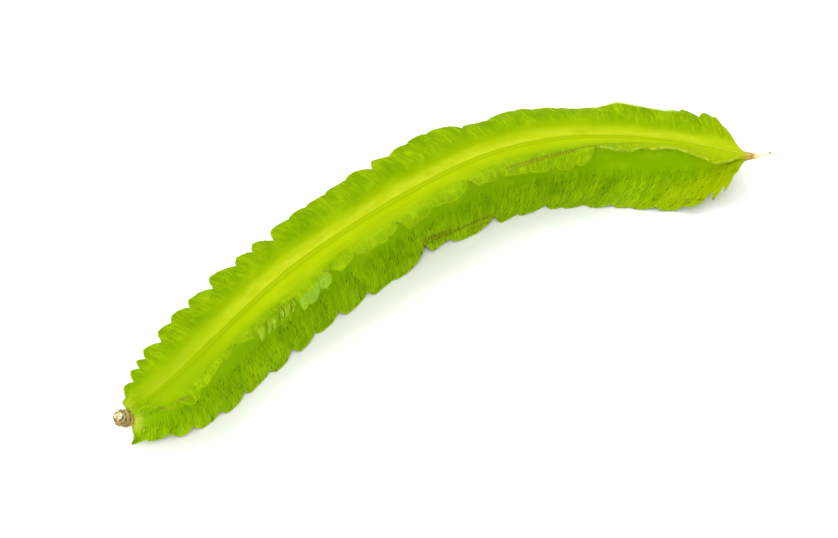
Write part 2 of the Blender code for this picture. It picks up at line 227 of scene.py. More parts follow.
# creases where a wing is bent over: wing, from, to, distance from the body, bend
creases = [
    ("upperInner", 33.5, 50.0, 4.3, 68),
    ("upperInner", 50.0, 63.0, 5.6, 40),
    ("upperInner", 88.5, 98.0, 7.2, 30),
    ("upperOuter", 132, 181, 7.6, 38),
]
wings = {
    "upperOuter": dict(
        side=-1, up=1, sheet=4, seed=3, fall=2.6,
        width=[(-1, 0.5), (-0.4, 2.6), (1.2, 3.6), (5.9, 5.3), (10, 6.4), (14, 7.2), (25, 8.0), (41, 8.3),
               (50, 7.5), (64, 7.6), (80, 7.8), (92, 8.4), (106, 8.7), (114, 9.1), (121, 8.5), (128, 7.3),
               (145, 8.0), (156, 8.2), (165, 9.1), (171, 9.6), (178, 9.3), (185, 9.4), (190.5, 9.3),
               (193, 6.9), (195.2, 2.2), (197, 0.5), (199, 0.25)],
        sweep=[(-1, 6), (3, 3.2), (9, 2.2), (16, 1.8), (199, 1.8)],
        lean=[(-1, -32), (1, -8), (3, 6), (6, 15), (20, 22), (60, 24), (113, 24), (126, 12), (140, 6),
              (152, 4), (162, 16), (170, 26), (185, 26), (197, 24)],
        curl=[(-3, 20), (30, 24), (110, 26), (128, 50), (152, 60), (162, 40), (172, 24), (197, 20)],
        notches=[(0.6, .42), (5.2, .38), (9.2, .27), (12.2, .25), (18.8, .30), (24.8, .15), (31.6, .22),
                 (39.4, .33), (48.3, .22), (54.2, .2), (60.6, .36), (68, .08), (74, .06), (80.5, .07),
                 (88, .05), (95.6, .24), (103, .07), (108.5, .05), (115, .06), (123.8, .2), (131, .06),
                 (138, .05), (148.5, .07), (158, .04), (176, .05), (185.7, .15), (189.8, .06), (192.2, .08)]),
    "upperInner": dict(
        side=1, up=1, sheet=1, seed=11, fall=5.5,
        torn=(34, 50), blunt=(149, 156.2),     # a stretch torn to a fringe, and one with round lobes
        width=[(-1, 0.4), (0.3, 1.8), (1.2, 2.8), (3, 2.9), (6, 3.9), (9, 5.2), (12, 7.1), (16, 6.8),
               (24, 5.6), (29, 5.4), (33.5, 6.8), (36.5, 9.8), (41, 10.8), (48, 10.4), (50.5, 8.8),
               (60, 8.8), (80, 8.8), (90, 9.8), (104, 9.5), (115, 9.1), (126, 8.2), (140, 8.9),
               (153.5, 9.2), (155.4, 8.8), (156.4, 3.4), (160, 5.4), (164, 8.2), (170, 8.0), (180, 6.6),
               (190, 5.8), (193.5, 4.2), (195.5, 1.8), (197, 0.5), (199, 0.25)],
        sweep=[(-1, 1.8), (199, 1.8)],
        lean=[(-1, 84), (1, 80), (3, 52), (5, 24), (6.5, 14), (10, 14), (16, 26), (22, 34), (28, 36),
              (34, 28), (42, 16), (50, 10), (56, 16), (66, 26), (90, 27), (108, 28), (118, 22), (130, 12),
              (140, 2), (154, 0), (160, 12), (166, 12), (172, 24), (177, 26), (184, 12), (190, 4), (197, 2)],
        curl=[(-3, 20), (30, 40), (44, 60), (54, 44), (66, 28), (120, 30), (140, 50), (154, 50), (165, 24),
              (197, 16)],
        notches=[(1.2, .1), (4.6, .3), (8.6, .42), (14.7, .22), (21, .1), (28.2, .5), (34.8, .25),
                 (38.4, .45), (40.2, .3), (43.4, .5), (45.0, .36), (47.9, .42), (49.6, .5), (52.4, .12),
                 (57.4, .26), (62.8, .5), (71.4, .28), (79.4, .1), (87.6, .46), (99, .22), (105.8, .1),
                 (113, .6), (124, .22), (134, .1), (142.9, .14), (150.3, .15), (155.6, .8), (164.6, .28),
                 (172, .12), (180, .12), (187, .14), (191.6, .15)]),
    "lowerInner": dict(
        side=1, up=-1, sheet=2, seed=23, fall=3.2,
        pointed=(188.5, 197),     # a stretch with pointed lobes
        bay=1.5,                  # hollow in the end face beside the stub
        width=[(-1, 1.5), (-0.5, 4.9), (1.0, 4.5), (3, 4.6), (6, 5.3), (10, 6.3), (20, 7.6), (40, 8.6),
               (87, 9.1), (96, 8.6), (103, 7.2), (110, 8.6), (118, 9.3), (140, 9.0), (149, 10.2),
               (164, 10.2), (175, 10.6), (184, 11.4), (189.5, 11.6), (192, 10.4), (194, 8.2), (195.4, 5.0),
               (196.3, 2.0), (197.2, 0.6), (199, 0.25)],
        sweep=[(-1, 5), (3, 4), (8, 2), (20, 1.8), (199, 1.8)],
        lean=[(-1, 78), (3, 66), (7, 48), (12, 36), (30, 33), (60, 31), (120, 32), (145, 36), (160, 44),
              (178, 46), (190, 40), (197, 34)],
        curl=[(-3, 16), (60, 28), (140, 28), (165, 20), (197, 10)],
        notches=[(1.6, .14), (6.2, .22), (11.4, .2), (19, .2), (27.6, .22), (37, .2), (46.2, .26),
                 (55.5, .18), (65, .24), (76, .2), (85, .08), (98.4, .42), (106, .12), (122.9, .3),
                 (131, .12), (141, .16), (147, .1), (155, .1), (163.6, .1), (169, .06), (176, .07),
                 (184, .06), (190.3, .34), (192.8, .36), (194.8, .4)]),
    "lowerOuter": dict(
        side=-1, up=-1, sheet=3, seed=31, fall=2.6,
        width=[(-1, 0.4), (0.6, 2.8), (5, 5.0), (10, 6.4), (20, 7.8), (60, 9.0), (110, 9.4), (150, 9.4),
               (178, 9.0), (187, 7.6), (192, 5.0), (195, 2.0), (197, 0.5), (199, 0.25)],
        sweep=[(-1, 1.8), (199, 1.8)],
        lean=[(-3, 22), (10, 30), (30, 35), (60, 35), (120, 34), (145, 27), (165, 17), (185, 20), (197, 16)],
        curl=[(-3, 16), (60, 28), (140, 28), (165, 14), (197, 10)],
        notches=[(1.6, .24), (6.2, .22), (11.4, .2), (18.4, .24), (27, .16), (35.5, .24), (44, .2),
                 (53.5, .24), (64, .2), (73, .16), (84.5, .24), (95.4, .2), (106.2, .26), (117.6, .18),
                 (127.4, .22), (138, .16), (148.4, .24), (158, .2), (167.5, .16), (176, .24), (184, .2),
                 (189.6, .24), (193, .2)]),
}
aroundOrder = ("upperInner", "lowerInner", "lowerOuter", "upperOuter")


def through(pairs, at):
    # smooth curve through (place, value) pairs that never overshoots them
    xs, ys = (np.array(v, float) for v in zip(*pairs))
    at = np.clip(np.asarray(at, float), xs[0], xs[-1])
    step = np.diff(xs)
    rate = np.diff(ys) / step
    slope = np.zeros(len(xs))
    slope[0], slope[-1] = rate[0], rate[-1]
    for k in range(1, len(xs) - 1):
        if rate[k - 1] * rate[k] > 0:
            a, b = 2 * step[k] + step[k - 1], step[k] + 2 * step[k - 1]
            slope[k] = (a + b) / (a / rate[k - 1] + b / rate[k])
    i = np.clip(np.searchsorted(xs, at, side="right") - 1, 0, len(step) - 1)
    h = step[i]
    q = (at - xs[i]) / h
    return (ys[i] * (1 + 2 * q) * (1 - q) ** 2 + slope[i] * h * q * (1 - q) ** 2
            + ys[i + 1] * q * q * (3 - 2 * q) + slope[i + 1] * h * q * q * (q - 1))


def spine(s):
    # middle line, forward, inner side and upward directions at the places s
    fine = np.arange(pod["start"] - 8, pod["end"] + 10, pod["step"])
    head = np.radians(through(pod["headings"], fine))
    middle = (head[1:] + head[:-1]) / 2
    x = np.concatenate([[0], np.cumsum(np.cos(middle)) * pod["step"]])
    y = np.concatenate([[0], np.cumsum(np.sin(middle)) * pod["step"]])
    x -= np.interp(0, fine, x)
    y -= np.interp(0, fine, y)
    z = through(pod["heights"], fine)
    point = np.stack([np.interp(s, fine, v) for v in (x, y, z)], -1)
    climb = np.interp(s, fine, np.gradient(z, fine))
    h = np.interp(s, fine, head)
    forward = np.stack([np.cos(h), np.sin(h), climb], -1)
    forward /= np.linalg.norm(forward, axis=-1, keepdims=True)
    level = np.stack([np.sin(h), -np.cos(h), np.zeros_like(h)], -1)
    upright = np.cross(level, forward)
    roll = np.radians(through(pod["rolls"], s))[..., None]
    side = level * np.cos(roll) - upright * np.sin(roll)
    up = upright * np.cos(roll) + level * np.sin(roll)
    return point, forward, side, up


def lobeEdges(wing):
    return np.array([pod["start"] - 2.0] + [n[0] for n in wing["notches"]] + [pod["end"] + 2.0])


def window(s, start, stop, soft=1.2):
    # 1 inside a stretch of the pod, 0 outside, with soft ends
    q = np.clip(np.minimum(s - start, stop - s) / soft + 0.5, 0, 1)
    return q * q * (3 - 2 * q)


def notchCut(wing, s, sharp=0.0):
    # share of the width cut away at the places s; every lobe has a round nose behind its notch,
    # or a pointed one where sharp is 1
    at = lobeEdges(wing)
    depth = np.array([0.0] + [n[1] for n in wing["notches"]] + [0.1])
    lobe = np.clip(np.searchsorted(at, s, side="right") - 1, 0, len(at) - 2)
    length = at[lobe + 1] - at[lobe]
    share = (s - at[lobe]) / length
    nose = np.minimum(pod["toothRise"], 0.5 * length)
    rise = np.clip(1 - (s - at[lobe]) / nose, 0, 1) ** (2.1 - 0.9 * sharp) * depth[lobe]
    fall = np.clip((share - 0.12) / 0.88, 0, 1) ** (wing["fall"] * (1 - sharp) + 1.3 * sharp) * depth[lobe + 1]
    return np.maximum(rise, fall)


def serration(seed, s):
    # small irregular teeth along a margin, in shares of their full height
    rng = np.random.default_rng(seed)
    count = 160
    at = pod["start"] - 3 + np.cumsum(rng.uniform(*pod["serrationPitch"], count))
    height = rng.uniform(0.1, 1.0, count) ** 1.4
    tooth = np.clip(np.searchsorted(at, s, side="right") - 1, 0, len(at) - 2)
    share = (s - at[tooth]) / (at[tooth + 1] - at[tooth])
    drop = 0.3      # share of a tooth that falls away before it rises again
    return height[tooth] * np.where(share < drop, 1 - share / drop,
                                    (np.maximum(share - drop, 0) / (1 - drop)) ** 1.6)


def ruffle(wing, s):
    # how far the margin is pushed out of the blade
    rng = np.random.default_rng(wing["seed"])
    tilt = rng.uniform(-0.55, 0.55, 80)
    phase = rng.uniform(0, 2 * math.pi, 3)
    wave = sum(much * np.sin(2 * math.pi * s / length + start)
               for (much, length), start in zip(pod["ruffleWaves"], phase))
    edges = lobeEdges(wing)
    centres = (edges[1:] + edges[:-1]) / 2
    return pod["ruffleHeight"] * (wave + pod["ruffleTilt"] * np.interp(s, centres, tilt[:len(centres)]))


def pucker(wing, s):
    # pinch at every notch and a slight cup between two of them, in millimetres out of the blade
    at = lobeEdges(wing)
    depth = np.array([0.0] + [n[1] for n in wing["notches"]] + [0.0])
    lobe = np.clip(np.searchsorted(at, s, side="right") - 1, 0, len(at) - 2)
    length = at[lobe + 1] - at[lobe]
    cup = np.sin(math.pi * (s - at[lobe]) / length) * np.minimum(length / 9.0, 1)
    pinch = np.zeros_like(s)
    for place, deep in zip(at, depth):
        pinch += min(deep / 0.25, 1) * np.exp(-((s - place) / pod["pinchLength"]) ** 2)
    return pod["cup"] * cup - pod["pinch"] * pinch


def wobble(seed, s, lengths):
    # small irregular wave made of a few sines
    rng = np.random.default_rng(seed)
    total = np.zeros_like(s)
    for length in lengths:
        total += np.sin(2 * math.pi * s / length + rng.uniform(0, 2 * math.pi)) / len(lengths)
    return total


def marginCut(wing, s):
    # the notches, deeper and more pointed where the margin is torn
    if "torn" in wing:
        torn = window(s, *wing["torn"])
        cut = notchCut(wing, s, torn - 0.8 * window(s, *wing["blunt"])) * (1 + 0.7 * torn)
        return np.minimum(cut, 0.85 - 0.27 * torn)
    return notchCut(wing, s, 0.6 * window(s, *wing["pointed"]) if "pointed" in wing else 0.0)


def blade(name, s, share):
    # middle of a blade at this share of its width, its facing, thickness, reach and full width
    wing = wings[name]
    point, forward, side, up = spine(s)
    width = through(wing["width"], s)
    full = np.maximum(width * (1 - marginCut(wing, s)), pod["leastWidth"])
    ragged = 0.75 + 0.5 * wobble(wing["seed"] + 60, s, (31.0, 17.0))
    full = full - pod["serration"] * np.clip(width / 4, 0, 1) * ragged * serration(wing["seed"] + 40, s)
    full = np.maximum(full, pod["leastTooth"])
    dist = full * share
    lean, curl = np.radians(through(wing["lean"], s)), np.radians(through(wing["curl"], s))
    first = lean + curl / 2
    turn = -curl / pod["bladeSpan"]
    angle = first + turn * dist
    halfWide, halfHigh = through(pod["halfWidths"], s), through(pod["halfHeights"], s)
    inset = np.minimum(pod["rootInset"], 0.35 * halfWide)
    across = halfWide - inset + (np.sin(angle) - np.sin(first)) / turn
    rise = halfHigh - inset + (np.cos(first) - np.cos(angle)) / turn
    outward = (side * (np.cos(angle) * wing["side"])[..., None] + up * (np.sin(angle) * wing["up"])[..., None])
    facing = (side * (-np.sin(angle) * wing["side"])[..., None]
              + up * (np.cos(angle) * wing["up"])[..., None])
    reach = dist / pod["bladeSpan"]
    push = ruffle(wing, s) * reach ** 1.7 + pucker(wing, s) * np.clip(reach, 0, 1.1) ** 2.2
    out = side * (wing["side"] * across)[..., None] + up * (wing["up"] * rise)[..., None]
    middle = (point + out - forward * (through(wing["sweep"], s) * reach ** 2)[..., None]
              + facing * push[..., None])
    if "bay" in wing:
        bay = wing["bay"] * np.exp(-((dist - 3.3) / 0.7) ** 2) * np.clip((3.4 - s) / 4.2, 0, 1) ** 1.5
        middle = middle + forward * bay[..., None]
    for bent, start, stop, line, bend in creases:
        if bent == name:
            over = np.maximum(dist - line, 0)
            tilt = np.radians(bend) * window(s, start, stop) * np.clip(over / 0.5, 0, 1)
            middle = (middle + outward * (over * (np.cos(tilt) - 1))[..., None]
                      - facing * (over * np.sin(tilt))[..., None])
            facing = facing * np.cos(tilt)[..., None] + outward * np.sin(tilt)[..., None]
    thick = (pod["marginThickness"] * np.minimum(1, halfWide / 1.5)
             + pod["rootSwell"] * (1 - share) ** 2 * np.minimum(1, width / 6))
    return middle, facing, thick, dist, full


def podColumns(s):
    # every column of the ring: points, facings and the numbers that the finish reads
    point, forward, side, up = spine(s)
    wide, high = through(pod["halfWidths"], s), through(pod["halfHeights"], s)
    columns = []

    def add(place, facing, across, dist, edge, region, sheet):
        columns.append((place, facing, across, dist, edge, np.full_like(s, region), np.full_like(s, sheet)))

    def body(u, v, region):
        place = point + side * (wide * u)[:, None] + up * (high * v)[:, None]
        facing = side * u + up * v
        facing /= np.linalg.norm(facing, axis=-1, keepdims=True)
        across = wide * (u if region != 1 else v)
        depth = -wide * (1 - abs(u)) if region != 1 else -high * (pod["faceRise"] - abs(v))
        add(place, facing, across, depth, np.full_like(s, 9.0), region, 0.0)

    def upperFace(u):
        # shallow trough with a fine raised seam along its middle
        return (pod["faceRise"] + pod["trough"] * (abs(u) / pod["faceHalf"]) ** 2
                + pod["seamRise"] * math.exp(-(u / pod["seamWidth"]) ** 2))

    def flankFace(v):
        return pod["flankOut"] + pod["flankCurve"] * (v / 0.6) ** 2

    for u in (0, 0.03, 0.06, 0.1, 0.16, 0.24, 0.33, 0.42):
        body(u, upperFace(u), 0)
    shares = [0.07, 0.16, 0.26, 0.36, 0.47, 0.58, 0.69, 0.79, 0.88, 0.94, 0.98]
    for name in aroundOrder:
        wing = wings[name]
        outerFirst = (wing["side"] > 0) == (wing["up"] > 0)
        found = {share: blade(name, s, np.full_like(s, share)) for share in shares + [1.0]}

        def face(way, share, thin=1.0):
            middle, facing, thick, dist, full = found[share]
            place = middle + facing * (way * thin * thick / 2)[:, None]
            if wing["up"] < 0:
                place[:, 2] = np.maximum(place[:, 2], pod["marginThickness"] if way < 0 else 0.0)
            region = (0 if wing["up"] > 0 else 2) if way > 0 else 1
            inset = np.minimum(pod["rootInset"], 0.35 * wide)
            across = (wide - inset + dist) * wing["side"]
            if region == 1:
                across = (high * pod["faceRise"] + dist) * wing["up"]
            add(place, facing, across, dist, full - dist, region, wing["sheet"])

        ways = (1, -1) if outerFirst else (-1, 1)
        for share in shares:
            face(ways[0], share)
        face(ways[0], 1.0, pod["tipThin"])
        middle, facing, thick, dist, full = found[1.0]
        beyond = found[1.0][0] - found[0.94][0]
        beyond /= np.maximum(np.linalg.norm(beyond, axis=-1, keepdims=True), 1e-6)
        tip = middle + beyond * pod["tipRound"]
        if wing["up"] < 0:
            tip[:, 2] = np.maximum(tip[:, 2], pod["marginThickness"] / 2)
        add(tip, facing, (wide + dist) * wing["side"], dist, full * 0.0, 0.5 if wing["up"] > 0 else 1.5,
            wing["sheet"])
        face(ways[1], 1.0, pod["tipThin"])
        for share in shares[::-1]:
            face(ways[1], share)
        if name == "upperInner":
            for v in (0.58, 0.3, 0.0, -0.3, -0.58):
                body(flankFace(v), v, 1)
        elif name == "lowerInner":
            for u in (0.42, 0.2, 0, -0.2, -0.42):
                body(u, -upperFace(u), 2)
        elif name == "lowerOuter":
            for v in (-0.58, -0.3, 0.0, 0.3, 0.58):
                body(-flankFace(v), v, 1)
    for u in (-0.42, -0.33, -0.24, -0.16, -0.1, -0.06, -0.03):
        body(u, upperFace(u), 0)
    return columns


def turnOutward(mesh):
    bm = bmesh.new()
    bm.from_mesh(mesh)
    bmesh.ops.recalc_face_normals(bm, faces=bm.faces)
    bm.to_mesh(mesh)
    bm.free()


def closedSurface(name, rings, numbers):
    # rings (count, around, 3) in millimetres to a closed mesh, with numbers per point
    count, around = rings.shape[:2]
    verts = np.concatenate([rings.reshape(-1, 3), [rings[0].mean(0), rings[-1].mean(0)]])
    verts = (verts + np.array(pod["moved"])) * mm
    i, j = np.meshgrid(np.arange(count - 1), np.arange(around), indexing="ij")
    k = (j + 1) % around
    quads = np.stack([i * around + j, i * around + k, (i + 1) * around + k, (i + 1) * around + j], -1)
    last, ring = count * around, np.arange(around)
    after = (ring + 1) % around
    foot = np.stack([np.full(around, last), after, ring], -1)
    top = np.stack([np.full(around, last + 1), last - around + ring, last - around + after], -1)
    mesh = bpy.data.meshes.new(name)
    mesh.from_pydata(verts.tolist(), [], quads.reshape(-1, 4).tolist() + foot.tolist() + top.tolist())
    turnOutward(mesh)
    for key, grid in numbers.items():
        flat = np.concatenate([grid.ravel(), [grid[0].mean(), grid[-1].mean()]]).astype(np.float32)
        mesh.attributes.new(key, "FLOAT", "POINT").data.foreach_set("value", flat)
    mesh.shade_smooth()
    piece = bpy.data.objects.new(name, mesh)
    bpy.context.scene.collection.objects.link(piece)
    return piece


def buildPod():
    s = np.linspace(pod["start"], pod["end"], pod["rings"])
    columns = podColumns(s)
    places, facings, *grids = (np.stack(part, 1) for part in zip(*columns))
    numbers = {"along": np.repeat(s[:, None], len(columns), 1)}
    numbers.update(zip(("across", "reach", "edge", "region", "sheet"), grids))
    piece = closedSurface("podSkin", places, numbers)
    forward = spine(s[[0, -1]])[1]
    facings = np.concatenate([facings.reshape(-1, 3), [-forward[0], forward[1]]]).astype(np.float32)
    piece.data.attributes.new("facing", "FLOAT_VECTOR", "POINT").data.foreach_set("vector", facings.ravel())
    print("pod surface:", len(columns), "points around,", len(s), "rings")
    return piece


class Rules(Graph):
    # a Geometry Nodes tree
    def __init__(self, name, inputs):
        super().__init__(bpy.data.node_groups.new(name, "GeometryNodeTree"))
        face = self.tree.interface
        face.new_socket("Geometry", in_out="INPUT", socket_type="NodeSocketGeometry")
        for label, kind, value in inputs:
            made = face.new_socket(label, in_out="INPUT", socket_type=kind)
            if value is not None:
                made.default_value = value
        face.new_socket("Geometry", in_out="OUTPUT", socket_type="NodeSocketGeometry")
        self.start = self.tree.nodes.new("NodeGroupInput")
        self.stop = self.tree.nodes.new("NodeGroupOutput")

    def given(self, label):
        return Val(self, self.start.outputs[label])

    def number(self, name, kind="FLOAT"):
        return self.node("GeometryNodeInputNamedAttribute", {"data_type": kind}, "Attribute", Name=name)

    def close(self, geometry):
        real = self.node("GeometryNodeRealizeInstances", {}, 0, Geometry=geometry)
        dressed = self.node("GeometryNodeSetMaterial", {}, 0, Geometry=real,
                            Material=self.given("Material"))
        self.tree.links.new(dressed.socket, self.stop.inputs[0])

    def apply(self, piece, values):
        # runs the tree on a piece and leaves a plain mesh behind
        modifier = piece.modifiers.new(self.tree.name, "NODES")
        modifier.node_group = self.tree
        for item in self.tree.interface.items_tree:
            if item.in_out == "INPUT" and item.name in values:
                modifier[item.identifier] = values[item.name]
        seen = bpy.context.evaluated_depsgraph_get()
        mesh = bpy.data.meshes.new_from_object(piece.evaluated_get(seen), preserve_all_data_layers=True,
                                               depsgraph=seen)
        piece.modifiers.remove(modifier)
        old = piece.data
        piece.data = mesh
        mesh.name = piece.name
        bpy.data.meshes.remove(old)


relief = {
    "Vein pitch": 0.9,       # millimetres between the veins across a wing
    "Vein height": 0.05,
    "Fold pitch": 3.6,       # broader puckers between the margin's lobes
    "Fold height": 0.34,
}


def reliefRules():
    # pushes veins and puckers out of the wings, both faces of a blade together
    rules = Rules("podRelief", [
        ("Vein pitch", "NodeSocketFloat", 1.0), ("Vein height", "NodeSocketFloat", 0.1),
        ("Fold pitch", "NodeSocketFloat", 4.0), ("Fold height", "NodeSocketFloat", 0.2),
        ("Material", "NodeSocketMaterial", None)])
    away = rules.number("reach").math("MAXIMUM", 0.0)
    slanted = rules.number("along") + away.math("POWER", 2.0) * 0.012
    side = rules.number("across") * 0.02

    def streaks(pitch, stretch):
        return (rules.noise(rules.vector(slanted / pitch, away * stretch, side)) - 0.5) * 2.0

    veins = streaks(rules.given("Vein pitch"), 0.35) * rules.given("Vein height")
    folds = streaks(rules.given("Fold pitch"), 0.13) * rules.given("Fold height")
    height = veins * away.ramp(0.5, 4.0) + folds * away.ramp(1.5, 8.5)
    shift = rules.node("ShaderNodeVectorMath", {"operation": "SCALE"}, 0,
                       n0=rules.number("facing", "FLOAT_VECTOR"), Scale=height * mm)
    moved = rules.node("GeometryNodeSetPosition", {}, 0, Geometry=rules.given("Geometry"), Offset=shift)
    # nothing goes below what the pod lies on
    place = rules.node("GeometryNodeInputPosition", {}, 0)
    split = rules.node("ShaderNodeSeparateXYZ", {}, "X", n0=place)
    kept = rules.vector(split, split.other("Y"), split.other("Z").math("MAXIMUM", 0.0))
    rules.close(rules.node("GeometryNodeSetPosition", {}, 0, Geometry=moved, Position=kept))
    return rules


podLook = {
    "paleFar": (0.40, 0.485, 0.005),
    "bloom": (0.52, 0.59, 0.030),
    "seam": (0.315, 0.415, 0.0008),
    "seamLine": (0.22, 0.34, 0.0006),
    "nearSeam": (0.345, 0.455, 0.0006),
    "wing": (0.212, 0.355, 0.0005),
    "margin": (0.208, 0.338, 0.0012),
    "deep": (0.115, 0.245, 0.0005),
    "hair": (0.080, 0.200, 0.0003),
    "light": (0.37, 0.535, 0.004),
    # painted highlight along the curled-over edge of the upper wings
    "rimHighlight": (0.62, 0.72, 0.16),
    "flank": (0.215, 0.40, 0.0005),
    "flankEdge": (0.285, 0.46, 0.004),
    # painted cool reflection for the hanging lobe
    "paintedSheen": (0.29, 0.54, 0.080),
    # painted highlight streaks on the torn fringe
    "fringeHighlight": (0.42, 0.60, 0.05),
    "dash": (0.035, 0.115, 0.002),
    "brown": (0.150, 0.172, 0.005),
    "rust": (0.27, 0.325, 0.010),
    "neck": (0.46, 0.53, 0.045),
    "beakFoot": (0.50, 0.36, 0.07),
}
# brown marks: wing, from, to, distance from the body there and there, half width, strength
marks = [
    ("upperInner", 126, 156, 5.2, 2.0, 0.34, 1.0),
    ("upperInner", 131, 150, 5.6, 3.4, 0.26, 0.8),
    ("upperInner", 154, 172, 2.0, 0.9, 0.24, 1.0),
    ("upperInner", 33, 50, 4.2, 4.1, 0.16, 0.50),
    ("upperInner", 23, 34, 5.2, 4.3, 0.22, 0.40),
    ("upperInner", 4.4, 6.4, 2.0, 3.4, 0.35, 1.0),
    ("upperInner", 8.0, 11.5, 2.8, 4.6, 0.30, 0.9),
    ("upperInner", 60.8, 63.4, 4.6, 6.8, 0.40, 0.9),
    ("upperInner", 86.2, 88.6, 5.2, 8.2, 0.42, 1.0),
    ("upperInner", 111.5, 114.0, 3.6, 6.4, 0.40, 1.0),
    ("lowerInner", 97, 122, 4.8, 6.2, 0.26, 1.0),
    ("lowerInner", 97.4, 108, 3.6, 5.0, 0.55, 0.9),
    ("lowerInner", 112, 124, 7.2, 7.9, 0.40, 0.5),
    ("lowerInner", 183, 192, 8.6, 10.4, 0.35, 0.5),
    ("upperOuter", 12, 25, 4.4, 5.2, 0.30, 0.25),
    ("upperOuter", 34, 45, 5.0, 5.5, 0.30, 0.20),
    ("upperOuter", 48, 63, 5.4, 4.8, 0.30, 0.25),
    ("upperOuter", 58.5, 61.5, 5.0, 7.0, 0.30, 0.45),
]


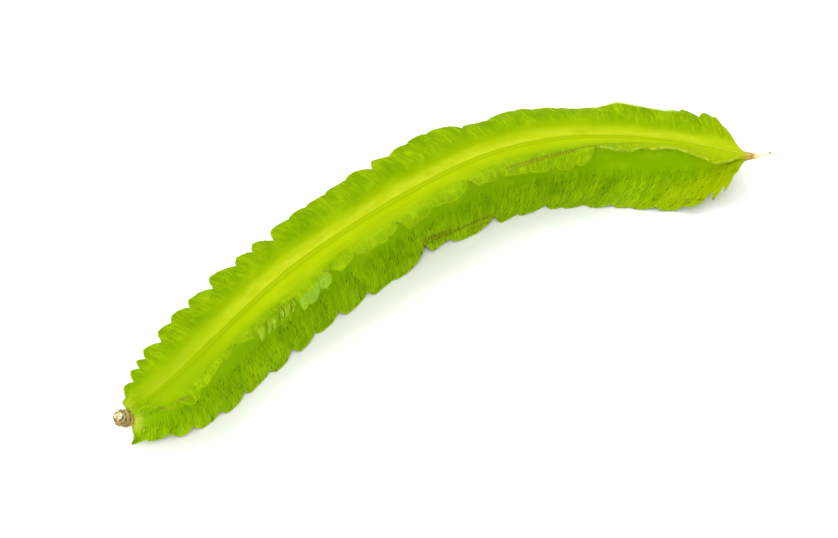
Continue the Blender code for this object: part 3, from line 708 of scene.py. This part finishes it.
def podFinish():
    look = podLook
    f = Finish("podSkin", look, Subsurface_Weight=0.25, Subsurface_Scale=0.0007,
               Subsurface_Radius=(0.9, 1.0, 0.08), Specular_IOR_Level=0.02,
               Specular_Tint=(0.72, 1.0, 0.10, 1.0))
    along, across, reach = f.attribute("along"), f.attribute("across"), f.attribute("reach")
    edge, region, sheet = f.attribute("edge"), f.attribute("region"), f.attribute("sheet")
    away = reach.math("MAXIMUM", 0.0)
    top = region.ramp(0.75, 0.25)
    flank = region.ramp(0.25, 0.75) * region.ramp(1.75, 1.25)
    faces = 1.0 - flank     # the upper and the lower face, each with a seam
    on = {name: abs(sheet - float(wings[name]["sheet"])).ramp(0.4, 0.1) for name in aroundOrder}
    blades = away.ramp(0.6, 4.0).math("MAXIMUM", reach.ramp(-3.0, 0.5) * flank)
    shoulder = on["upperInner"] * along.ramp(40.0, 64.0) * along.ramp(128.0, 104.0)
    wander = f.noise(f.vector(along * 0.06, across * 0.2, region * 3.1)) - 0.5

    # hair-fine veins across the wings, broken and leaning back, and broader patches
    warp = f.noise(f.vector(along * 0.30, away * 0.35, region * 3.7), detail=3.0, rough=0.55) - 0.5
    slant = flank * along.ramp(95.0, 150.0)     # the flank's veins lean more towards the beak
    lined = along + away * away * 0.014 + away * slant * 0.22 + warp * 1.6 * blades
    drift = f.noise(f.vector(along * 0.55, away * 0.24, region * 3.0 + 9.0), detail=2.0) - 0.5
    wave = (lined * 10.5 + drift * 10.0).math("SINE") * 0.5 + 0.5
    broken = f.noise(f.vector(lined * 0.9, away * 0.24, region * 2.7), detail=3.0, rough=0.6)
    hairs = wave * broken.ramp(0.32, 0.58)
    paler = f.noise(f.vector(lined * 1.4 + 40.0, away * 0.22, region * 1.3), detail=2.0, rough=0.6)
    broad = f.noise(f.vector(lined * 0.34, away * 0.11, region * 1.9), detail=2.0)
    patch = f.noise(f.vector(along * 0.11, across * 0.18, region * 5.0), detail=3.0, rough=0.55)
    skin = f.noise(f.vector(along * 2.4, across * 2.4, region), detail=3.0, rough=0.65)
    cloud = f.noise(f.vector(along * 0.8, across * 1.0, region * 6.0), detail=4.0, rough=0.7)
    haze = f.noise(f.vector(along * 0.16, across * 0.5, 11.0), detail=2.5, rough=0.5)
    calm = 1.0 - shoulder * 0.45
    dark = hairs.ramp(0.35, 0.95) * calm
    lit = paler.ramp(0.50, 0.68) * calm

    # the pale band beyond the seam, the bright one this side of it, and the stripe between
    shifted = across + wander * 0.9
    far = shifted.ramp(-0.55, -1.15) * shifted.ramp(-5.4, -1.8)
    near = shifted.ramp(0.6, 1.0) * shifted.ramp(4.6, 1.2)
    stripe = abs(across + wander * 0.2).ramp(0.85, 0.55)
    lines = abs(abs(across + wander * 0.2) - 0.72).ramp(0.22, 0.06)
    f.colour = f.mix(away.ramp(3.0, 8.0), look["wing"], look["margin"])
    f.coat(reach.ramp(3.0, -1.2) * 0.6, "nearSeam")
    f.coat(near * faces, "nearSeam")
    f.coat(shoulder * away.ramp(6.0, 1.0) * 0.5, "nearSeam")
    f.coat(far * faces * 0.92, "paleFar")
    f.colour = f.mix(flank, f.colour, f.mix(reach.ramp(0.5, 8.5), look["flank"], look["flankEdge"]))
    f.coat(patch.ramp(0.50, 0.68) * 0.32, "light")
    f.coat(patch.ramp(0.50, 0.32) * (0.12 + away.ramp(0.0, 4.0) * 0.28), "deep")
    f.coat(broad.ramp(0.46, 0.30) * blades * 0.28, "deep")
    f.coat(broad.ramp(0.54, 0.70) * blades * 0.24, "light")
    f.coat(lit * blades * 0.42, "light")
    f.coat(dark * blades * 0.48, "hair")
    bloom = haze.ramp(0.36, 0.66) * 0.36 + cloud.ramp(0.4, 0.7) * 0.12
    f.coat(bloom * far * faces, "bloom")
    # duller and greener towards the stalk
    stalkward = top * along.ramp(48.0, 12.0) * reach.ramp(3.5, -0.5) * (0.5 + across.ramp(-0.6, 0.6) * 0.3)
    f.coat(stalkward, "wing")
    f.coat(top * along.ramp(9.0, 1.0) * (0.2 + cloud.ramp(0.4, 0.6) * 0.35), "deep")
    f.coat(cloud.ramp(0.50, 0.32) * reach.ramp(1.0, -1.5) * top * 0.16, "seam")
    f.coat(flank * along.ramp(164.0, 190.0) * reach.ramp(0.0, 5.0) * 0.6, "nearSeam")
    f.coat(skin.ramp(0.52, 0.72) * 0.10, "light")
    f.coat(skin.ramp(0.44, 0.30) * 0.12, "deep")
    fade = along.ramp(4.0, 24.0) * along.ramp(186.0, 160.0)
    end = along.ramp(181.0, 193.0) * (0.42 + flank * 0.33)
    nearEnd = on["upperInner"] * along.ramp(158.0, 174.0) * away.ramp(0.7, 1.4) * 0.72
    f.coat(end.math("MAXIMUM", nearEnd), "nearSeam")
    ridge = abs(across + 0.35 + wander * 0.4).ramp(0.34, 0.10) * along.ramp(172.0, 184.0)
    f.coat(ridge * along.ramp(198.0, 195.0) * top * 0.6, "bloom")
    f.coat(stripe * faces * fade * 0.85, "seam")
    f.coat(lines * faces * fade * 0.55, "seamLine")
    f.coat(stripe * top * along.ramp(62.0, 24.0) * along.ramp(1.0, 8.0) * 0.5, "seamLine")
    stained = abs(abs(across) - 2.3).ramp(1.6, 0.3) * along.ramp(30.0, 8.0) * top
    f.coat(stained * (cloud * 0.6 + haze * 0.4).ramp(0.46, 0.60) * 0.5, "rust")

    # slender dark dashes on the flanks, leaning as the veins do
    sheared = along + away * (0.42 + slant * 0.45)
    sparse = f.noise(f.vector(along * 0.16, across * 0.18, 7.0), detail=3.0)
    for spread, shift, keep in ((1.25, 0.0, 0.36), (0.95, 31.0, 0.42)):
        at = f.vector(sheared * spread + shift, across * 0.36, region * 4.0)
        cells = f.node("ShaderNodeTexVoronoi", {"feature": "F1"}, "Distance", Vector=at, Scale=1.0,
                       Randomness=1.0)
        dash = cells.ramp(0.24, 0.11) * sparse.ramp(keep, keep + 0.12) * flank * reach.ramp(-3.0, 1.0)
        f.coat(dash * 0.75, "dash")

    # painted cool reflection on the lobe that hangs down, and a pale fringe before it whose pale streaks are a
    # painted highlight
    hungSheenMask = on["upperInner"] * along.ramp(48.0, 51.0) * along.ramp(64.0, 60.0) * away.ramp(4.6, 6.4)
    f.coat(hungSheenMask * (0.06 + dark * 0.34 + cloud.ramp(0.42, 0.60) * 0.34), "paintedSheen")
    fringeHighlight = on["upperInner"] * along.ramp(33.0, 36.0) * along.ramp(50.0, 48.5) * away.ramp(4.4, 5.2)
    f.coat(fringeHighlight * (0.15 + lit * 0.5 + cloud.ramp(0.42, 0.6) * 0.25), "fringeHighlight")

    # rim a little lighter, with a painted highlight along the edge and fold where the wing curls over, brown
    # here and there
    curled = on["upperOuter"] * along.ramp(133.0, 140.0) * along.ramp(182.0, 176.0)
    rimHighlight = (edge - curled * 0.3).ramp(0.26, 0.05) * away.ramp(0.8, 2.2)
    curled = curled + on["upperInner"] * along.ramp(153.0, 157.0) * paler.ramp(0.42, 0.60) * 0.45
    rimHighlight = rimHighlight.math("MAXIMUM", curled * abs(away - 8.0).ramp(0.65, 0.25) * on["upperOuter"])
    f.coat(rimHighlight * 0.3, "light")
    f.coat(rimHighlight * curled * 0.8, "rimHighlight")
    spots = f.noise(f.vector(along * 0.50, sheet * 2.0, 1.0), detail=3.0, rough=0.7)
    specks = edge.ramp(0.75, 0.1) * away.ramp(0.8, 2.2) * spots.ramp(0.56, 0.64)
    f.coat(specks * 0.8, "brown")

    # bruises: a thin broken line with hatching round it
    hatch = f.noise(f.vector(lined * 2.1, away * 0.7, sheet * 5.0), detail=3.0, rough=0.65).ramp(0.40, 0.60)
    bruise = None
    soft = 0.8      # millimetres over which a mark starts and stops
    for name, start, stop, low, high, wide, much in marks:
        slope = (high - low) / (stop - start)
        off = abs(away - low - (along - start) * slope + warp * 0.8)
        here = on[name] * along.ramp(start - soft, start + soft) * along.ramp(stop + soft, stop - soft) * much
        stroke = here * (off.ramp(wide * 1.5, wide * 0.3) * (0.35 + hatch * 0.65)
                         + off.ramp(wide * 4.5, wide) * hatch * 0.6)
        bruise = stroke if bruise is None else bruise.math("MAXIMUM", stroke)
    bruise = (bruise * (0.5 + skin)).math("MINIMUM", 1.0)
    f.coat(bruise.ramp(0.05, 0.5) * 0.45, "rust")
    f.coat(bruise.ramp(0.25, 0.95) * 0.8, "brown")
    neck = (along + (cloud - 0.5) * 5.0).ramp(1.6, -0.8) * reach.ramp(2.0, -0.8) * (1.0 - top * 0.75)
    f.coat(neck * 0.85, "neck")
    f.coat((along + (patch - 0.5) * 3.0).ramp(195.6, 198.2), "beakFoot")
    f.feed("Base Color", f.colour)

    f.feed("Roughness", 0.48 + skin * 0.20 - lit * 0.06 + bruise * 0.2)
    height = (paler * 0.7 - dark * 0.60) * blades + skin * 0.25 + broad * blades * 0.5 - bruise * 0.3
    f.feed("Normal", f.bump(height, 0.00025, 0.7))
    return f.material


stalk = {
    # distance from the pod, radius, rise, turn to the side
    "bend": [(0.0, 1.9, 0.0, 0.0), (0.4, 2.15, 0.0, 0.0), (0.9, 2.25, 0.16, 0.0), (1.4, 1.95, 0.42, 0.0),
             (1.9, 2.15, 0.76, 0.0), (2.3, 2.2, 1.10, 0.0), (2.65, 1.9, 1.46, 0.0),
             (2.95, 1.6, 1.78, 0.0), (3.15, 1.4, 2.02, 0.0)],
    "lead": 0.38,           # how far it reaches back into the gap
    "sides": 120,
    "rings": 110,
    "seed": 17,
    "knobs": 0.55,
    "scarHeight": 0.12,     # knobbly rings round the stub
    "scarTurns": 7.4,       # radians in a millimetre
    "cutRings": 26,
    "cutHollow": 0.45,
    "cutRipple": 0.10,
    "cutTear": 0.20,
    "Scales": 110,          # flakes of bark in a square centimetre
    "Scale size": 0.40,
    "scaleShape": (1.0, 0.55, 0.16),
}
barkLook = {
    "hollow": (0.085, 0.068, 0.020),
    "ridge": (0.40, 0.32, 0.11),
    "dust": (0.50, 0.44, 0.24),
    "rust": (0.34, 0.17, 0.05),
    "foot": (0.55, 0.28, 0.06),
    "pith": (0.40, 0.31, 0.12),
    "palePith": (0.84, 0.79, 0.58),
    "crack": (0.16, 0.12, 0.04),
}
beak = {
    "course": [(0.0, 0.8, 0.0, 0.0), (0.4, 0.88, 0.0, 0.0), (0.9, 0.82, 0.02, 0.0), (1.5, 0.70, 0.07, 0.03),
              (2.3, 0.56, 0.18, 0.08), (3.2, 0.45, 0.36, 0.16), (4.0, 0.40, 0.56, 0.26),
              (4.4, 0.43, 0.68, 0.32), (4.7, 0.30, 0.77, 0.36)],
    "lead": 0.4,
    "sides": 40,
    "rings": 60,
    "capHeight": 0.22,
    "flutes": (0.05, 0.04),
    "foot": (0.40, 0.22, 0.04),
    "straw": (0.72, 0.62, 0.30),
    "cream": (0.80, 0.74, 0.55),
    "stain": (0.62, 0.47, 0.20),
    "tip": (0.30, 0.16, 0.06),
}


def endFrame(place):
    return [v[0] for v in spine(np.array([place]))]


def tubeRings(place, way, course, lead, count):
    # rings along a bent course that leaves one end of the pod and starts a little inside the gap
    point, forward, side, up = endFrame(place)
    dist, radius, rise, out = (np.array(v) for v in zip(*course))
    length = np.concatenate([[0], np.cumsum(np.hypot(np.hypot(np.diff(dist), np.diff(rise)), np.diff(out)))])
    at = np.linspace(-lead, length[-1], count)
    ahead, lift, turned, size = (through(list(zip(length, values)), at) for values in (dist, rise, out, radius))
    ahead = ahead + np.minimum(at, 0) + pod["gap"]
    middle = point + forward * (way * ahead)[:, None] + up * lift[:, None] - side * turned[:, None]
    run = np.gradient(middle, axis=0)
    run /= np.linalg.norm(run, axis=1, keepdims=True)
    one = np.cross(up, run)
    one /= np.linalg.norm(one, axis=1, keepdims=True)
    return at, middle, run, one, np.cross(run, one), size


def buildStalk():
    rng = np.random.default_rng(stalk["seed"])
    turn = np.linspace(0, 2 * math.pi, stalk["sides"], endpoint=False)
    at, middle, run, one, two, radius = tubeRings(pod["start"], -1, stalk["bend"], stalk["lead"],
                                                  stalk["rings"])
    rough = np.zeros((len(at), stalk["sides"]))
    for waves in range(2, 26):
        rough += (rng.normal(0, stalk["knobs"] / waves) * np.sin(waves * turn + rng.uniform(0, 6.3)
                  + 0.9 * np.sin(at[:, None] * rng.uniform(0.5, 2.4))))
    scars = at[:, None] * stalk["scarTurns"] + 1.5 * np.sin(turn + 2) + 0.8 * np.sin(3 * turn + 0.5)
    bands = stalk["scarHeight"] * np.sin(scars) * (0.65 + 0.35 * np.sin(2 * turn + 1.7 * at[:, None]))
    bands = bands + 0.05 * np.sin(at[:, None] * 19 + 3 * rough)
    size = radius[:, None] * (0.93 + 0.10 * rough) + bands * np.clip(at, 0, 1)[:, None] * (1 + 0.8 * rough)
    wall = middle[:, None, :] + size[..., None] * (np.cos(turn)[None, :, None] * one[:, None, :]
                                                  + np.sin(turn)[None, :, None] * two[:, None, :])
    # cut face: torn rings round a sunken pith
    shares = np.linspace(0.96, 0.03, stalk["cutRings"])
    ripple = stalk["cutRipple"] * np.sin(26 * shares[:, None] + 1.3 * np.sin(3 * turn)) * shares[:, None]
    torn = np.zeros((len(shares), stalk["sides"]))
    for waves in range(3, 20):
        torn += rng.normal(0, 0.35 / waves) * np.sin(waves * turn + 5 * shares[:, None] + rng.uniform(0, 6.3))
    depth = (0.10 * np.sin(math.pi * shares[:, None]) ** 2 - stalk["cutHollow"] * (1 - shares[:, None])
             + ripple + stalk["cutTear"] * torn)
    face = (middle[-1] + run[-1] * depth[..., None]
            + (size[-1] * shares[:, None])[..., None] * (np.cos(turn)[None, :, None] * one[-1]
                                                        + np.sin(turn)[None, :, None] * two[-1]))
    rings = np.concatenate([wall, face])
    inward = np.concatenate([np.ones(len(at)), shares])
    along = np.concatenate([at, np.full(len(shares), at[-1])])
    numbers = {"along": np.repeat(along[:, None], stalk["sides"], 1),
               "inward": np.repeat(inward[:, None], stalk["sides"], 1),
               "relief": np.concatenate([bands * 6 + rough * 0.5, ripple * 6 + torn])}
    return closedSurface("stalkStub", rings, numbers)


def stalkFinish():
    look = barkLook
    f = Finish("stalkBark", look, Subsurface_Weight=0.08, Subsurface_Scale=0.0005, Specular_IOR_Level=0.15)
    place = f.node("ShaderNodeTexCoord", {}, "Object")
    along, inward, relief = f.attribute("along"), f.attribute("inward"), f.attribute("relief")
    mottle = f.noise(place, 900.0, 4.0, 0.7)
    fine = f.noise(place, 3200.0, 3.0, 0.6)
    high = relief * 0.8 + mottle * 2.2 - 1.1
    f.colour = f.mix(high.ramp(-0.6, 0.7), look["hollow"], look["ridge"])
    f.coat(fine.ramp(0.54, 0.72) * 0.45, "dust")
    f.coat(mottle.ramp(0.60, 0.72) * 0.6, "rust")
    f.coat(along.ramp(0.9, 0.0) * mottle.ramp(0.35, 0.6), "foot")
    pith = f.mix(mottle.ramp(0.38, 0.60), look["pith"], look["palePith"])
    cracks = (relief * 0.7 + mottle).ramp(0.45, -0.25) * inward.ramp(0.30, 0.80)
    pith = f.mix(cracks * 0.8, pith, look["crack"])
    f.feed("Base Color", f.mix(inward.ramp(0.97, 0.84), f.colour, pith))
    f.feed("Roughness", 0.7 + fine * 0.25)
    f.feed("Normal", f.bump(mottle * 0.7 + fine * 0.4, 0.0003, 0.7))
    return f.material


def scaleRules():
    # small flakes of bark scattered over the stub
    rules = Rules("barkScales", [
        ("Scales", "NodeSocketInt", 40), ("Scale size", "NodeSocketFloat", 0.5), ("Seed", "NodeSocketInt", 1),
        ("Material", "NodeSocketMaterial", None)])
    onSide = rules.node("FunctionNodeCompare", {"data_type": "FLOAT", "operation": "GREATER_THAN"}, 0,
                        n0=rules.number("inward"), n1=0.9)
    stub = rules.given("Geometry")
    spread = rules.node("GeometryNodeDistributePointsOnFaces", {"distribute_method": "RANDOM"}, 0, Mesh=stub,
                        Selection=onSide, Density=rules.given("Scales") / 0.0001, Seed=rules.given("Seed"))
    flake = rules.node("GeometryNodeMeshIcoSphere", {}, 0, Radius=mm, Subdivisions=2)
    flake = rules.node("GeometryNodeTransform", {}, 0, Geometry=flake, Scale=stalk["scaleShape"])
    # the numbers that the bark's finish reads
    for name, value in (("inward", 1.0), ("relief", 0.45), ("along", 0.3)):
        flake = rules.node("GeometryNodeStoreNamedAttribute", {"data_type": "FLOAT", "domain": "POINT"}, 0,
                           Geometry=flake, Name=name, Value=value)
    size = rules.node("FunctionNodeRandomValue", {"data_type": "FLOAT"}, 1, n2=0.45, n3=1.0,
                      Seed=rules.given("Seed"))
    placed = rules.node("GeometryNodeInstanceOnPoints", {}, 0, Points=spread, Instance=flake,
                        Rotation=spread.other("Rotation"), Scale=size * rules.given("Scale size"))
    both = rules.node("GeometryNodeJoinGeometry", {}, 0, Geometry=stub)
    rules.tree.links.new(placed.socket, both.socket.node.inputs[0])
    rules.close(both)
    return rules


def buildBeak():
    turn = np.linspace(0, 2 * math.pi, beak["sides"], endpoint=False)
    at, middle, run, one, two, radius = tubeRings(pod["end"], 1, beak["course"], beak["lead"],
                                                  beak["rings"])
    cap = np.linspace(0.92, 0.05, 7)
    lift = beak["capHeight"] * np.sqrt(1 - cap ** 2)
    middle = np.concatenate([middle, middle[-1] + run[-1] * lift[:, None]])
    one = np.concatenate([one, np.repeat(one[-1:], len(cap), 0)])
    two = np.concatenate([two, np.repeat(two[-1:], len(cap), 0)])
    size = np.concatenate([radius, radius[-1] * cap])
    along = np.concatenate([at, at[-1] + lift])
    fluted = (1 + beak["flutes"][0] * np.sin(5 * turn + 0.6)[None, :]
              + beak["flutes"][1] * np.sin(3 * turn[None, :] + along[:, None] * 2.1))
    rings = middle[:, None, :] + (size[:, None] * fluted)[..., None] * (
        np.cos(turn)[None, :, None] * one[:, None, :] + np.sin(turn)[None, :, None] * two[:, None, :])
    return closedSurface("beakTip", rings, {"along": np.repeat(along[:, None], beak["sides"], 1)})


def beakFinish():
    f = Finish("beakDry", beak, Subsurface_Weight=0.5, Subsurface_Scale=0.0012,
               Subsurface_Radius=(1.0, 0.8, 0.4), Specular_IOR_Level=0.3)
    place = f.node("ShaderNodeTexCoord", {}, "Object")
    along = f.attribute("along")
    mottle = f.noise(place, 1400.0, 3.0, 0.6)
    streak = along + mottle * 0.8
    f.colour = f.mix(streak.ramp(0.2, 1.5), beak["foot"], beak["straw"])
    f.coat(streak.ramp(1.4, 3.0), "cream")
    f.coat(mottle.ramp(0.55, 0.75) * 0.35, "stain")
    f.coat(streak.ramp(4.7, 5.1), "tip")
    f.feed("Base Color", f.colour)
    f.feed("Roughness", 0.42 + mottle * 0.25)
    f.feed("Normal", f.bump(mottle, 0.0002, 0.5))
    return f.material


table = {
    "half": 3.0,
    "drop": 0.0001,     # just under the pod
    "colour": (0.93, 0.93, 0.925, 1),
}


def buildFloor():
    mesh = bpy.data.meshes.new("floor")
    half = table["half"]
    corners = [(-half, -half, 0), (half, -half, 0), (half, half, 0), (-half, half, 0)]
    mesh.from_pydata(corners, [], [(0, 1, 2, 3)])
    floor = bpy.data.objects.new("floor", mesh)
    bpy.context.scene.collection.objects.link(floor)
    white = Finish("floorWhite", table, Base_Color=table["colour"], Roughness=0.9, Specular_IOR_Level=0.0)
    mesh.materials.append(white.material)
    floor.location.z = -table["drop"]


bpy.context.scene.view_settings.view_transform = "Standard"
addCamera()
addLights()
buildFloor()

skin = buildPod()
reliefRules().apply(skin, {**relief, "Material": podFinish()})
print("pod dressed:", len(skin.data.polygons), "faces")
stub = buildStalk()
scaleRules().apply(stub, {"Scales": stalk["Scales"], "Scale size": stalk["Scale size"], "Seed": stalk["seed"],
                          "Material": stalkFinish()})
print("stalk dressed:", len(stub.data.polygons), "faces")
tip = buildBeak()
tip.data.materials.append(beakFinish())
print("beak dressed:", len(tip.data.polygons), "faces")

for piece, node in ((skin, "pod"), (stub, "stalk"), (tip, "beak")):
    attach(piece, "root")
    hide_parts(node)
